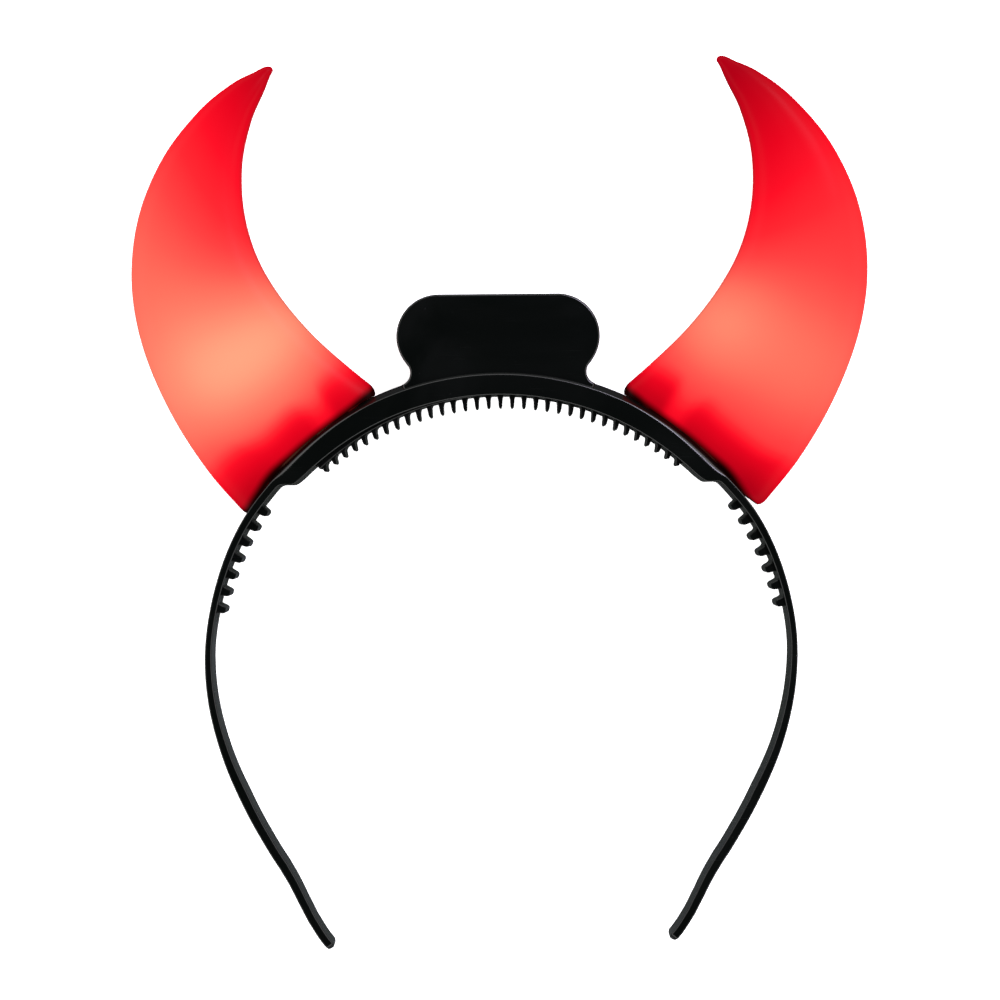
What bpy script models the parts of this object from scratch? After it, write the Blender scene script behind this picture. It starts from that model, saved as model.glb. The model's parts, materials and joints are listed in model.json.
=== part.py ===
# A light-up headband with a pair of horns, lying on its back.
# The frame is one black moulding: a band with two arms, a hollow rail over the top, a bare tab on a neck,
# and a tongue inside each horn. A comb strip closes the rail, and the horns are hollow translucent shells.
#
# Lengths are in millimetres and become metres in the meshes. The model is drawn about the centre of the
# band's circle, with x to the right, y up towards the horns and z to the front. Angles run from the top
# of the band, positive to the right.

import math
from collections import namedtuple

import bmesh
import bpy
from mathutils import Matrix, Vector

MM = 0.001
GAP = 0.3
MERGE_DISTANCE = 0.01

# Path of the band's outer face.
PathPoint = namedtuple("PathPoint", "angle radius")
BAND_PATH = [PathPoint(*row) for row in (
    (0.0, 70.6),
    (50.0, 70.7),
    (60.0, 71.1),
    (75.0, 70.7),
    (85.0, 70.4),
    (95.0, 69.8),
    (105.0, 69.0),
    (115.0, 68.5),
    (124.0, 68.8),
    (131.0, 69.6),
    (134.5, 70.5),
    (138.0, 72.0),
    (142.0, 74.1),
    (147.2, 76.5),
)]
PATH_STEP = 0.5

# Section of the band: thickness, half of its depth, and how far its outer face is crowned.
BandSection = namedtuple("BandSection", "angle thickness half_depth crown")
BAND_SECTIONS = [BandSection(*row) for row in (
    (0.0, 4.6, 6.0, 1.35),
    (41.7, 4.6, 6.0, 1.35),
    (45.2, 4.7, 6.0, 1.3),
    (46.8, 4.4, 6.0, 1.2),
    (48.3, 3.5, 6.0, 1.0),
    (49.3, 2.4, 6.0, 0.8),
    (50.4, 1.8, 5.9, 0.6),
    (53.5, 1.7, 5.8, 0.0),
    (60.0, 1.6, 5.5, 0.0),
    (75.0, 1.4, 5.0, 0.0),
    (85.0, 1.3, 4.8, 0.0),
    (95.0, 1.5, 4.6, 0.0),
    (105.0, 1.6, 4.5, 0.0),
    (115.0, 1.8, 4.5, 0.0),
    (131.0, 1.7, 4.4, 0.0),
    (147.2, 1.6, 4.0, 0.0),
)]
LUG_END_ANGLE = 53.5
CROWN_FLAT_SHARE = 0.5
EDGE_CHAMFER = 0.35
TOP_STEP = 3.5
ARM_STEP = 4.0
TIP_LENGTH = 1.3
TIP_ROUNDING = (0.0, 0.5, 0.85, 1.0)
TIP_SMALLEST = 0.35

# Hollow of the rail, open below, between the two lugs.
CHANNEL_HALF_ANGLE = 41.55
CHANNEL_FLOOR = 1.5
RAIL_WALL = 1.2

# Comb strip in the rail's mouth.
COMB_HALF_ANGLE = 41.05
COMB_TOP_RADIUS = 67.3
COMB_ROOT_RADIUS = 65.35
COMB_ROOT_DROP = 0.55
COMB_TIP_RADIUS = 62.65
COMB_TIP_RISE = 1.0
COMB_TILT = 0.85
COMB_TEETH_A_SIDE = 16
COMB_PITCH = 2.54
COMB_LEAN = 0.5
COMB_TOP_STEPS = 24

# A tooth's half widths at its flared root, above the flare, near its end and at its end,
# and the heights of the flare and of the rounded end.
Tooth = namedtuple("Tooth", "root shank shoulder end flare_height end_height")
COMB_TOOTH = Tooth(root=0.95, shank=0.55, shoulder=0.36, end=0.2, flare_height=0.45, end_height=0.3)
ARM_TOOTH = Tooth(root=1.75, shank=1.1, shoulder=0.75, end=0.4, flare_height=0.8, end_height=0.5)

# Seven larger teeth inside each arm.
ARM_TEETH = 7
ARM_TOOTH_FIRST = 55.0
ARM_TOOTH_PITCH = 3.53
ARM_TOOTH_LENGTH = 2.5
ARM_TOOTH_SINK = 0.15
ARM_TOOTH_FOOT = 0.5
ARM_TOOTH_INSET = 0.6

# Tab, with round ends on a neck that runs into the rail in fillets.
TAB_HALF_WIDTH = 24.1
TAB_CENTRE_Y = 79.6
TAB_RADIUS = 9.95
TAB_FRONT = 5.2
TAB_BACK = -5.0
TAB_EDGE = 0.4
NECK_FILLET = 3.0
NECK_FOOT_RADIUS = 69.9
NECK_FOOT_STEPS = 8
NECK_HALVINGS = 40
TAB_END_STEPS = 12
FILLET_STEPS = 5

# Cover let into the back of the tab.
COVER_HALF_WIDTH = 20.5
COVER_RADIUS = 7.0
COVER_THICKNESS = 1.2
COVER_END_STEPS = 5
RECESS_OVERCUT = 1.0

# Horns: outer edge, inner edge and thickness of each section, from the base to the tip.
HornSection = namedtuple("HornSection", "outer_x outer_y inner_x inner_y thickness")
HORN_SECTIONS = [HornSection(*row) for row in (
    (61.8, 38.2, 27.9, 65.9, 10.0),
    (71.6, 50.2, 36.5, 73.2, 12.6),
    (80.1, 64.6, 45.3, 81.6, 14.2),
    (86.1, 80.3, 52.9, 91.2, 15.0),
    (88.2, 95.6, 58.2, 101.1, 14.6),
    (86.1, 110.9, 60.9, 112.0, 13.4),
    (79.8, 125.0, 60.9, 123.3, 11.2),
    (70.8, 136.0, 58.4, 133.3, 8.4),
    (62.7, 142.3, 55.2, 140.1, 5.6),
    (56.9, 145.1, 53.3, 144.3, 3.2),
    (54.6, 146.2, 53.0, 146.0, 1.6),
)]
HORN_WALL = 1.2
HORN_SQUARENESS = 2.6
HORN_RING = 24
HORN_STEPS_A_ROW = 2
HOLLOW_RING = 16
HOLLOW_STEPS_A_ROW = 1.5
HOLLOW_FIRST_ROW = -0.25
HOLLOW_LAST_ROW = 7.5
BASE_ROUNDING = 0.16
BASE_ROUNDING_STEPS = 3
OUTER_CORNER = 1.8
INNER_CORNER = 2.4

# How each horn sits on the rail: the left one is turned about its inner corner and pushed in deeper.
Seating = namedtuple("Seating", "side turn shift_x shift_y")
LEFT_SEATING = Seating(side=-1, turn=-1.98, shift_x=-1.6, shift_y=-0.8)
RIGHT_SEATING = Seating(side=1, turn=0.0, shift_x=0.0, shift_y=0.0)
HORN_PIVOT = (27.9, 65.9)
SEAT_DEPTH = 14.0
SEAT_FROM = 12.0
SEAT_TO = 72.0

# Tongue in each horn: the steps of its upper edge.
TongueStep = namedtuple("TongueStep", "from_angle to_angle radius")
TONGUE_STEPS = [TongueStep(*row) for row in (
    (30.0, 33.5, 79.0),
    (33.5, 37.5, 76.8),
    (37.5, 42.5, 78.6),
    (42.5, 46.5, 77.2),
    (46.5, 50.5, 79.6),
)]
TONGUE_HALF_DEPTH = 1.6
TONGUE_FOOT_RADIUS = 70.0

LEAN_ROUNDS = 3

Finish = namedtuple("Finish", "material colour roughness alpha")
FINISHES = {
    "headband_frame": Finish("frame_black", (0.008, 0.008, 0.009, 1.0), 0.32, 1.0),
    "comb_strip": Finish("comb_black", (0.010, 0.010, 0.010, 1.0), 0.36, 1.0),
    "battery_cover": Finish("cover_black", (0.009, 0.009, 0.009, 1.0), 0.40, 1.0),
    "left_horn": Finish("left_horn_red", (0.90, 0.02, 0.03, 1.0), 0.30, 0.75),
    "right_horn": Finish("right_horn_red", (0.90, 0.02, 0.03, 1.0), 0.30, 0.75),
}


def catmull_rom(table, column, position):
    """Value of a column at a position counted in rows, on a smooth curve through the rows."""
    last = len(table) - 1
    row = min(max(int(math.floor(position)), 0), last - 1)
    t = position - row
    p1 = getattr(table[row], column)
    p2 = getattr(table[row + 1], column)
    p0 = getattr(table[row - 1], column) if row > 0 else 2 * p1 - p2
    p3 = getattr(table[row + 2], column) if row + 2 <= last else 2 * p2 - p1
    return 0.5 * (
        2 * p1
        + (p2 - p0) * t
        + (2 * p0 - 5 * p1 + 4 * p2 - p3) * t * t
        + (3 * p1 - p0 - 3 * p2 + p3) * t ** 3
    )


def row_position(table, angle):
    """Where an angle falls in a table, counted in rows."""
    for row in range(len(table) - 1):
        low = table[row].angle
        high = table[row + 1].angle
        if angle <= high:
            return row + (angle - low) / (high - low)
    return float(len(table) - 1)


def section_size(column, angle):
    """Size of the band's section at an angle, on straight lines between the rows."""
    position = row_position(BAND_SECTIONS, angle)
    row = min(int(position), len(BAND_SECTIONS) - 2)
    share = position - row
    low = getattr(BAND_SECTIONS[row], column)
    high = getattr(BAND_SECTIONS[row + 1], column)
    return low * (1 - share) + high * share


def polar(radius, angle):
    """Point at an angle from the top of the band, positive to the right."""
    turn = math.radians(angle)
    return Vector((radius * math.sin(turn), radius * math.cos(turn)))


def path_radius(angle):
    return catmull_rom(BAND_PATH, "radius", row_position(BAND_PATH, abs(angle)))


def path_frame(angle):
    """Point of the band's outer face and the unit vector that points out of it."""
    before = polar(path_radius(angle - PATH_STEP), angle - PATH_STEP)
    after = polar(path_radius(angle + PATH_STEP), angle + PATH_STEP)
    along = (after - before).normalized()
    return polar(path_radius(angle), angle), Vector((-along.y, along.x))


def solid_from_rings(name, rings):
    """Closed solid lofted through rings of equal length, with flat ends."""
    shape = bmesh.new()
    rows = [[shape.verts.new(Vector(point) * MM) for point in ring] for ring in rings]
    count = len(rings[0])
    for first, second in zip(rows, rows[1:]):
        for k in range(count):
            after = (k + 1) % count
            shape.faces.new((first[k], first[after], second[after], second[k]))
    shape.faces.new(rows[0])
    shape.faces.new(rows[-1])
    bmesh.ops.recalc_face_normals(shape, faces=shape.faces)
    mesh = bpy.data.meshes.new(name)
    shape.to_mesh(mesh)
    shape.free()
    return bpy.data.objects.new(name, mesh)


def solid_from_outlines(name, outlines, low, high, edge=0.0):
    """Flat outlines made solid between two heights, with an optional rounded edge."""
    curve = bpy.data.curves.new(name, "CURVE")
    curve.dimensions = "2D"
    curve.fill_mode = "BOTH"
    curve.extrude = ((high - low) / 2 - edge) * MM
    curve.bevel_depth = edge * MM
    curve.bevel_resolution = 1
    curve.offset = -edge * MM
    for outline in outlines:
        spline = curve.splines.new("POLY")
        spline.points.add(len(outline) - 1)
        for point, place in zip(spline.points, outline):
            point.co = (place[0] * MM, place[1] * MM, 0.0, 1.0)
        spline.use_cyclic_u = True
    guide = bpy.data.objects.new(name + "_outline", curve)
    guide.location.z = (low + high) / 2 * MM
    bpy.context.scene.collection.objects.link(guide)
    bpy.context.view_layer.update()
    evaluated = guide.evaluated_get(bpy.context.evaluated_depsgraph_get())
    mesh = bpy.data.meshes.new_from_object(evaluated)
    mesh.name = name
    shape = bmesh.new()
    shape.from_mesh(mesh)
    bmesh.ops.remove_doubles(shape, verts=shape.verts, dist=MERGE_DISTANCE * MM)
    bmesh.ops.recalc_face_normals(shape, faces=shape.faces)
    shape.to_mesh(mesh)
    shape.free()
    mesh.transform(guide.matrix_world)
    bpy.data.objects.remove(guide)
    return bpy.data.objects.new(name, mesh)


def arc(centre, radius, start, end, steps):
    """Points on an arc, in degrees anticlockwise from +x."""
    points = []
    for k in range(steps + 1):
        turn = math.radians(start + (end - start) * k / steps)
        points.append(Vector((centre[0] + radius * math.cos(turn), centre[1] + radius * math.sin(turn))))
    return points


def band_ring(angle, grow=0.0, scale=1.0, depth_inside=None):
    """Section of the band at an angle, crowned outside and chamfered at its edges."""
    size = abs(angle)
    thickness = section_size("thickness", size)
    half = section_size("half_depth", size) * scale + grow
    crown = section_size("crown", size)
    face, out = path_frame(angle)
    middle = -thickness / 2
    top = middle + thickness / 2 * scale + grow
    bottom = middle - thickness / 2 * scale if depth_inside is None else -depth_inside
    chamfer = EDGE_CHAMFER * scale
    flat = half * CROWN_FLAT_SHARE
    section = (
        (bottom, -half + chamfer),
        (bottom, half - chamfer),
        (bottom + chamfer, half),
        (top - chamfer, half),
        (top, half - chamfer),
        (top + crown, flat),
        (top + crown, -flat),
        (top, -half + chamfer),
        (top - chamfer, -half),
        (bottom + chamfer, -half),
    )
    return [(*(face + out * radial), z) for radial, z in section]


def band_angles():
    """Angles of the band's sections on one side, from the top to where the tip's rounding starts."""
    lug = [row.angle for row in BAND_SECTIONS if 0 < row.angle <= LUG_END_ANGLE]
    steps = round(lug[0] / TOP_STEP)
    angles = [lug[0] * k / steps for k in range(steps)] + lug
    end = BAND_PATH[-1].angle - math.degrees(TIP_LENGTH / BAND_PATH[-1].radius)
    steps = round((end - lug[-1]) / ARM_STEP)
    angles += [lug[-1] + (end - lug[-1]) * (k + 1) / steps for k in range(steps)]
    return angles


def make_band():
    angles = band_angles()
    rest = BAND_PATH[-1].angle - angles[-1]
    side = [(angle, 1.0) for angle in angles]
    for share in TIP_ROUNDING[1:]:
        scale = max(math.sqrt(1 - share * share), TIP_SMALLEST)
        side.append((angles[-1] + rest * share, scale))
    stations = [(-angle, scale) for angle, scale in reversed(side[1:])] + side
    return solid_from_rings("headband_frame", [band_ring(a, scale=s) for a, s in stations])


def make_channel():
    """Cutter for the hollow of the rail."""
    half = BAND_SECTIONS[0].half_depth - RAIL_WALL
    outer = BAND_PATH[0].radius - CHANNEL_FLOOR
    steps = round(2 * CHANNEL_HALF_ANGLE / TOP_STEP)
    angles = [CHANNEL_HALF_ANGLE * (2 * k / steps - 1) for k in range(steps + 1)]
    outline = [polar(outer, angle) for angle in angles]
    outline += [polar(COMB_TIP_RADIUS, angle) for angle in reversed(angles)]
    return solid_from_outlines("rail_hollow", [outline], -half, half)


def tooth_points(root, tip, tooth):
    """One tooth's outline, from its left root round its end to its right root."""
    down = (tip - root).normalized()
    across = Vector((-down.y, down.x))
    length = (tip - root).length
    half_profile = (
        (tooth.root, 0.0),
        (tooth.shank, tooth.flare_height),
        (tooth.shoulder, length - tooth.end_height),
        (tooth.end, length),
    )
    left = [root - across * x + down * y for x, y in half_profile]
    right = [root + across * x + down * y for x, y in reversed(half_profile)]
    return left + right


def make_comb():
    outline = []
    for k in range(COMB_TOP_STEPS + 1):
        outline.append(polar(COMB_TOP_RADIUS, COMB_HALF_ANGLE * (1 - 2 * k / COMB_TOP_STEPS)))
    teeth = range(-COMB_TEETH_A_SIDE, COMB_TEETH_A_SIDE + 1)
    for n in teeth:
        bow = (n / COMB_TEETH_A_SIDE) ** 2
        angle = n * COMB_PITCH
        tip = polar(COMB_TIP_RADIUS + COMB_TIP_RISE * bow, angle)
        root_radius = COMB_ROOT_RADIUS - COMB_ROOT_DROP * bow
        upward = polar(1.0, angle * COMB_LEAN)
        length = (root_radius - tip.length) / upward.dot(polar(1.0, angle))
        points = tooth_points(tip + upward * length, tip, COMB_TOOTH)
        if n == teeth[0]:
            points = [polar(COMB_ROOT_RADIUS, -COMB_HALF_ANGLE)] + points[2:]
        if n == teeth[-1]:
            points = points[:-2] + [polar(COMB_ROOT_RADIUS, COMB_HALF_ANGLE)]
        outline += points
    half = BAND_SECTIONS[0].half_depth - RAIL_WALL - GAP
    comb = solid_from_outlines("comb_strip", [outline], -half, half)
    pivot = Matrix.Translation((0.0, COMB_ROOT_RADIUS * MM, 0.0))
    comb.data.transform(pivot @ Matrix.Rotation(math.radians(COMB_TILT), 4, "Z") @ pivot.inverted())
    return comb


def make_arm_teeth():
    outlines = []
    for side in (-1, 1):
        for n in range(ARM_TEETH):
            angle = side * (ARM_TOOTH_FIRST + n * ARM_TOOTH_PITCH)
            face, out = path_frame(angle)
            thickness = section_size("thickness", abs(angle))
            root = face - out * (thickness - ARM_TOOTH_SINK)
            tip = face - out * (thickness + ARM_TOOTH_LENGTH)
            points = tooth_points(root, tip, ARM_TOOTH)
            foot = [points[-1] + out * ARM_TOOTH_FOOT, points[0] + out * ARM_TOOTH_FOOT]
            outlines.append(points + foot)
    last_angle = ARM_TOOTH_FIRST + ARM_TEETH * ARM_TOOTH_PITCH
    half = section_size("half_depth", last_angle) - ARM_TOOTH_INSET
    return solid_from_outlines("arm_teeth", outlines, -half, half)


def neck_angle(crown_radius):
    """Angle on the tab's end circle where the neck's fillet starts, found by halving."""
    low = 0.0
    high = 90.0
    reach = TAB_RADIUS + NECK_FILLET
    end_x = TAB_HALF_WIDTH - TAB_RADIUS
    for _ in range(NECK_HALVINGS):
        middle = (low + high) / 2
        turn = math.radians(middle)
        centre = Vector((end_x + reach * math.cos(turn), TAB_CENTRE_Y - reach * math.sin(turn)))
        if centre.length > crown_radius + NECK_FILLET:
            low = middle
        else:
            high = middle
    return middle, centre


def make_tab():
    end_x = TAB_HALF_WIDTH - TAB_RADIUS
    crown_radius = BAND_PATH[0].radius + BAND_SECTIONS[0].crown
    start, fillet = neck_angle(crown_radius)
    foot_turn = math.degrees(math.atan2(-fillet.y, -fillet.x))
    right = arc((end_x, TAB_CENTRE_Y), TAB_RADIUS, 90, -start, TAB_END_STEPS)
    right += arc(fillet, NECK_FILLET, 180 - start, foot_turn + 360, FILLET_STEPS)[1:]
    left = [Vector((-point.x, point.y)) for point in reversed(right)]
    half = math.degrees(math.atan2(fillet.x, fillet.y))
    foot = []
    for k in range(NECK_FOOT_STEPS + 1):
        foot.append(polar(NECK_FOOT_RADIUS, half * (1 - 2 * k / NECK_FOOT_STEPS)))
    return solid_from_outlines("tab_body", [right + foot + left], TAB_BACK, TAB_FRONT, TAB_EDGE)


def round_ended(half_width, radius):
    """Outline with round ends, about the tab's centre."""
    end_x = half_width - radius
    right = arc((end_x, TAB_CENTRE_Y), radius, -90, 90, 2 * COVER_END_STEPS)
    return right + arc((-end_x, TAB_CENTRE_Y), radius, 90, 270, 2 * COVER_END_STEPS)


def make_cover():
    outline = round_ended(COVER_HALF_WIDTH, COVER_RADIUS)
    return solid_from_outlines("battery_cover", [outline], TAB_BACK, TAB_BACK + COVER_THICKNESS)


def make_cover_recess():
    outline = round_ended(COVER_HALF_WIDTH + GAP, COVER_RADIUS + GAP)
    top = TAB_BACK + COVER_THICKNESS + GAP
    return solid_from_outlines("cover_recess", [outline], TAB_BACK - RECESS_OVERCUT, top)


def make_tongues():
    outlines = []
    for side in (-1, 1):
        upper = []
        for step in TONGUE_STEPS:
            upper += [polar(step.radius, side * step.from_angle), polar(step.radius, side * step.to_angle)]
        foot = [polar(TONGUE_FOOT_RADIUS, side * step.to_angle) for step in reversed(TONGUE_STEPS)]
        foot.append(polar(TONGUE_FOOT_RADIUS, side * TONGUE_STEPS[0].from_angle))
        outlines.append(upper + foot)
    return solid_from_outlines("horn_tongues", outlines, -TONGUE_HALF_DEPTH, TONGUE_HALF_DEPTH)


def corner_inset(row, size):
    """How far a corner of the base is rounded back at a place near the base."""
    if row >= BASE_ROUNDING:
        return 0.0
    left = min(1 - row / BASE_ROUNDING, 1.0)
    return size * (1 - math.sqrt(1 - left * left))


def horn_ring(row, count, wall):
    """Section of a horn: a pillow between its two edges, drawn in by the wall's thickness."""
    section = HornSection(*(catmull_rom(HORN_SECTIONS, name, row) for name in HornSection._fields))
    outer = Vector((section.outer_x, section.outer_y))
    inner = Vector((section.inner_x, section.inner_y))
    across = (outer - inner).normalized()
    outer -= across * (wall + corner_inset(row, OUTER_CORNER))
    inner += across * (wall + corner_inset(row, INNER_CORNER))
    middle = (outer + inner) / 2
    half_width = (outer - inner).length / 2
    half_thickness = section.thickness / 2 - wall
    power = 2 / HORN_SQUARENESS
    ring = []
    for k in range(count):
        turn = 2 * math.pi * k / count
        x = math.copysign(abs(math.cos(turn)) ** power, math.cos(turn))
        z = math.copysign(abs(math.sin(turn)) ** power, math.sin(turn))
        ring.append((*(middle + across * x * half_width), z * half_thickness))
    return ring


def horn_rows(first, last, steps_a_row):
    steps = math.ceil((last - first) * steps_a_row)
    return [first + (last - first) * k / steps for k in range(steps + 1)]


def make_horn(name, seating):
    last = len(HORN_SECTIONS) - 1
    base_rows = [BASE_ROUNDING * (k / BASE_ROUNDING_STEPS) ** 2 for k in range(BASE_ROUNDING_STEPS)]
    rows = base_rows + horn_rows(BASE_ROUNDING, last, HORN_STEPS_A_ROW)
    horn = solid_from_rings(name, [horn_ring(row, HORN_RING, 0.0) for row in rows])
    hollow_rows = horn_rows(HOLLOW_FIRST_ROW, HOLLOW_LAST_ROW, HOLLOW_STEPS_A_ROW)
    hollow_rings = [horn_ring(row, HOLLOW_RING, HORN_WALL) for row in hollow_rows]
    hollow = solid_from_rings(name + "_hollow", hollow_rings)
    pivot = Matrix.Translation((HORN_PIVOT[0] * MM, HORN_PIVOT[1] * MM, 0.0))
    turned = pivot @ Matrix.Rotation(math.radians(seating.turn), 4, "Z") @ pivot.inverted()
    turned = Matrix.Translation((seating.shift_x * MM, seating.shift_y * MM, 0.0)) @ turned
    for piece in (horn, hollow):
        piece.data.transform(turned)
        if seating.side < 0:
            piece.data.transform(Matrix.Diagonal((-1.0, 1.0, 1.0, 1.0)))
            piece.data.flip_normals()
    return horn, hollow


def make_seat(name, side):
    """Cutter that leaves a gap between a horn's base and the rail under it."""
    steps = round((SEAT_TO - SEAT_FROM) / TOP_STEP)
    angles = [side * (SEAT_FROM + (SEAT_TO - SEAT_FROM) * k / steps) for k in range(steps + 1)]
    return solid_from_rings(name, [band_ring(a, grow=GAP, depth_inside=SEAT_DEPTH) for a in angles])


def add_boolean(target, tool, operation):
    modifier = target.modifiers.new(tool.name, "BOOLEAN")
    modifier.operation = operation
    modifier.solver = "EXACT"
    modifier.object = tool


def add_material(target):
    finish = FINISHES[target.name]
    material = bpy.data.materials.new(finish.material)
    material.use_nodes = True
    shader = material.node_tree.nodes["Principled BSDF"]
    shader.inputs["Base Color"].default_value = finish.colour
    shader.inputs["Roughness"].default_value = finish.roughness
    shader.inputs["Metallic"].default_value = 0.0
    shader.inputs["Alpha"].default_value = finish.alpha
    target.data.materials.clear()
    target.data.materials.append(material)


def world_points(target):
    evaluated = target.evaluated_get(bpy.context.evaluated_depsgraph_get())
    return [evaluated.matrix_world @ vertex.co for vertex in evaluated.data.vertices]


def resting_lean(points):
    """Angle about x that lays the horns' backs and the arms on one level plane."""
    horns = [p for p in points if p.y > BAND_PATH[0].radius * MM]
    arms = [p for p in points if p.y < 0]
    back = min(horns, key=lambda p: p.z)
    for _ in range(LEAN_ROUNDS):
        arm = min(arms, key=lambda p: (p.z - back.z) / (back.y - p.y))
        back = min(horns, key=lambda p: (p.z - arm.z) / (p.y - arm.y))
    return math.atan2(arm.z - back.z, back.y - arm.y)


def main():
    for old in list(bpy.data.objects):
        bpy.data.objects.remove(old)
    parts = bpy.data.collections.new("devil_horns_headband")
    cutters = bpy.data.collections.new("cutters")
    for collection in (parts, cutters):
        bpy.context.scene.collection.children.link(collection)

    frame = make_band()
    channel = make_channel()
    recess = make_cover_recess()
    additions = [make_tab(), make_arm_teeth(), make_tongues()]
    left, left_hollow = make_horn("left_horn", LEFT_SEATING)
    right, right_hollow = make_horn("right_horn", RIGHT_SEATING)
    left_seat = make_seat("left_horn_seat", -1)
    right_seat = make_seat("right_horn_seat", 1)
    pieces = [frame, make_comb(), left, right, make_cover()]
    tools = [channel, recess, *additions, left_hollow, right_hollow, left_seat, right_seat]

    stand = bpy.data.objects.new("resting_pose", None)
    parts.objects.link(stand)
    for piece in pieces:
        parts.objects.link(piece)
        piece.parent = stand
        add_material(piece)
    for tool in tools:
        cutters.objects.link(tool)
        tool.parent = stand
        tool.hide_render = True
        tool.display_type = "WIRE"

    for tool in additions:
        add_boolean(frame, tool, "UNION")
    for tool in (channel, recess):
        add_boolean(frame, tool, "DIFFERENCE")
    for horn, hollow, seat in ((left, left_hollow, left_seat), (right, right_hollow, right_seat)):
        add_boolean(horn, hollow, "DIFFERENCE")
        add_boolean(horn, seat, "DIFFERENCE")
        for face in horn.data.polygons:
            face.use_smooth = True

    bpy.context.view_layer.update()
    points = [p for piece in pieces for p in world_points(piece)]
    lean = Matrix.Rotation(resting_lean(points), 4, "X")
    leaned = [lean @ p for p in points]
    low = Vector([min(p[i] for p in leaned) for i in range(3)])
    high = Vector([max(p[i] for p in leaned) for i in range(3)])
    shift = Vector((-(low.x + high.x) / 2, -(low.y + high.y) / 2, -low.z))
    stand.matrix_world = Matrix.Translation(shift) @ lean
    bpy.context.view_layer.update()


main()
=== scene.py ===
import json
import math

import bmesh
import bpy
from mathutils import Matrix, Vector


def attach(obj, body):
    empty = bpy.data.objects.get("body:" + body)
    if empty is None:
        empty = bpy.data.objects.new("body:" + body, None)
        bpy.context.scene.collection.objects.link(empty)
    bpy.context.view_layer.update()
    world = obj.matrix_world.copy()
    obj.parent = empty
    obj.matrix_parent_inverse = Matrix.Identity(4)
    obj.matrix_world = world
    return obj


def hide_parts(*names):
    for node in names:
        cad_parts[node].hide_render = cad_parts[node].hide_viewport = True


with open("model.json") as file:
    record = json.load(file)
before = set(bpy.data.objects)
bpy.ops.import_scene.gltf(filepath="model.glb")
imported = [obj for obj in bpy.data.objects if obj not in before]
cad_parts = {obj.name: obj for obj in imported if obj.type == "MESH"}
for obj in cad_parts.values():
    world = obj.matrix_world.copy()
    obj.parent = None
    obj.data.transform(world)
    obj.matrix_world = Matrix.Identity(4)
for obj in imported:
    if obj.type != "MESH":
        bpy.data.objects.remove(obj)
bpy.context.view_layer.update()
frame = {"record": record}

# A light-up horn headband lying on its back. Everything is modelled in millimetres about the centre
# of the band's circle, x to the right, y up to the horns, z to the front, then laid down by resting.
# Angles run in degrees from the top of the band, positive to the right.

scene = bpy.context.scene
scene.view_settings.view_transform = "Standard"
mm = 0.001
sameSpot = 0.005  # points closer than this are one
flatsWeight = 80  # how strongly large faces set the shading of the edges beside them

band = {
    "path": (  # angle, radius of the outer face
        (0.0, 70.6), (50.0, 70.7), (60.0, 71.1), (75.0, 70.7), (85.0, 70.4), (95.0, 69.8), (105.0, 69.0),
        (115.0, 68.5), (124.0, 68.8), (131.0, 69.6), (134.5, 70.5), (138.0, 72.0), (142.0, 74.1),
        (147.2, 76.5), (149.0, 77.3),
    ),
    "sections": (  # angle, thickness, half depth, crown of the outer face, radius of its edges
        (0.0, 5.0, 6.0, 1.35, 0.38), (26.0, 5.0, 6.0, 1.35, 0.38), (34.0, 5.0, 6.0, 1.35, 0.9),
        (41.7, 5.0, 6.0, 1.35, 1.5), (45.2, 4.95, 6.0, 1.3, 1.6), (46.8, 4.75, 6.0, 1.2, 1.5),
        (47.7, 4.35, 6.0, 1.1, 1.3), (48.4, 3.3, 6.0, 1.0, 0.95), (49.2, 2.25, 6.0, 0.8, 0.6),
        (50.0, 2.0, 5.9, 0.6, 0.42), (53.5, 2.0, 5.8, 0.0, 0.38), (60.0, 1.9, 5.5, 0.0, 0.38),
        (75.0, 1.7, 5.0, 0.0, 0.38), (85.0, 1.6, 4.8, 0.0, 0.38), (95.0, 1.8, 4.6, 0.0, 0.38),
        (105.0, 2.0, 4.5, 0.0, 0.38), (115.0, 2.3, 4.5, 0.0, 0.38), (131.0, 2.2, 4.4, 0.0, 0.38),
        (148.6, 1.95, 4.0, 0.0, 0.38),
    ),
    "ends": (-148.0, 147.8),  # angles at which the left and right arms end
    "swing": (  # angle, outward drift of the left arm and of the right arm
        (0.0, 0.0, 0.0), (46.0, 0.0, 0.0), (60.0, -0.1, 0.35), (78.0, -0.1, 0.35), (96.0, 0.05, 0.0),
        (104.0, 0.17, -0.03), (112.0, 0.36, -0.12), (123.0, 0.5, -0.27), (134.0, 0.65, -0.36),
        (143.6, 0.87, -0.38), (149.0, 1.0, -0.5),
    ),
    "ringStep": 0.5,       # degrees between rings
    "soften": 0.25,        # degrees over which the sections' corners are eased
    "innerEdge": 0.38,     # radius of the edges towards the head
    "outerEdgeEnd": 25,    # degrees at which the outer edges' arcs run into the crown
    "edgeSteps": 4,
    "crownFlat": 0.5,      # share of the half depth that is level on top
    "crownEase": 0.3,      # half width of the bend between the level top and its slopes
    "crownEaseShare": 0.94,
    "tipLength": 1.3,      # rounded length at each arm's end
    "tipSteps": 6,
    "tipSmallest": 0.3,
}


def polar(radius, angle):
    turn = math.radians(angle)
    return Vector((radius * math.sin(turn), radius * math.cos(turn)))


def rowPlace(rows, value):  # where a value of the first column falls, counted in rows
    for k in range(len(rows) - 1):
        if value <= rows[k + 1][0]:
            return k + (value - rows[k][0]) / (rows[k + 1][0] - rows[k][0])
    return float(len(rows) - 1)


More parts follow.
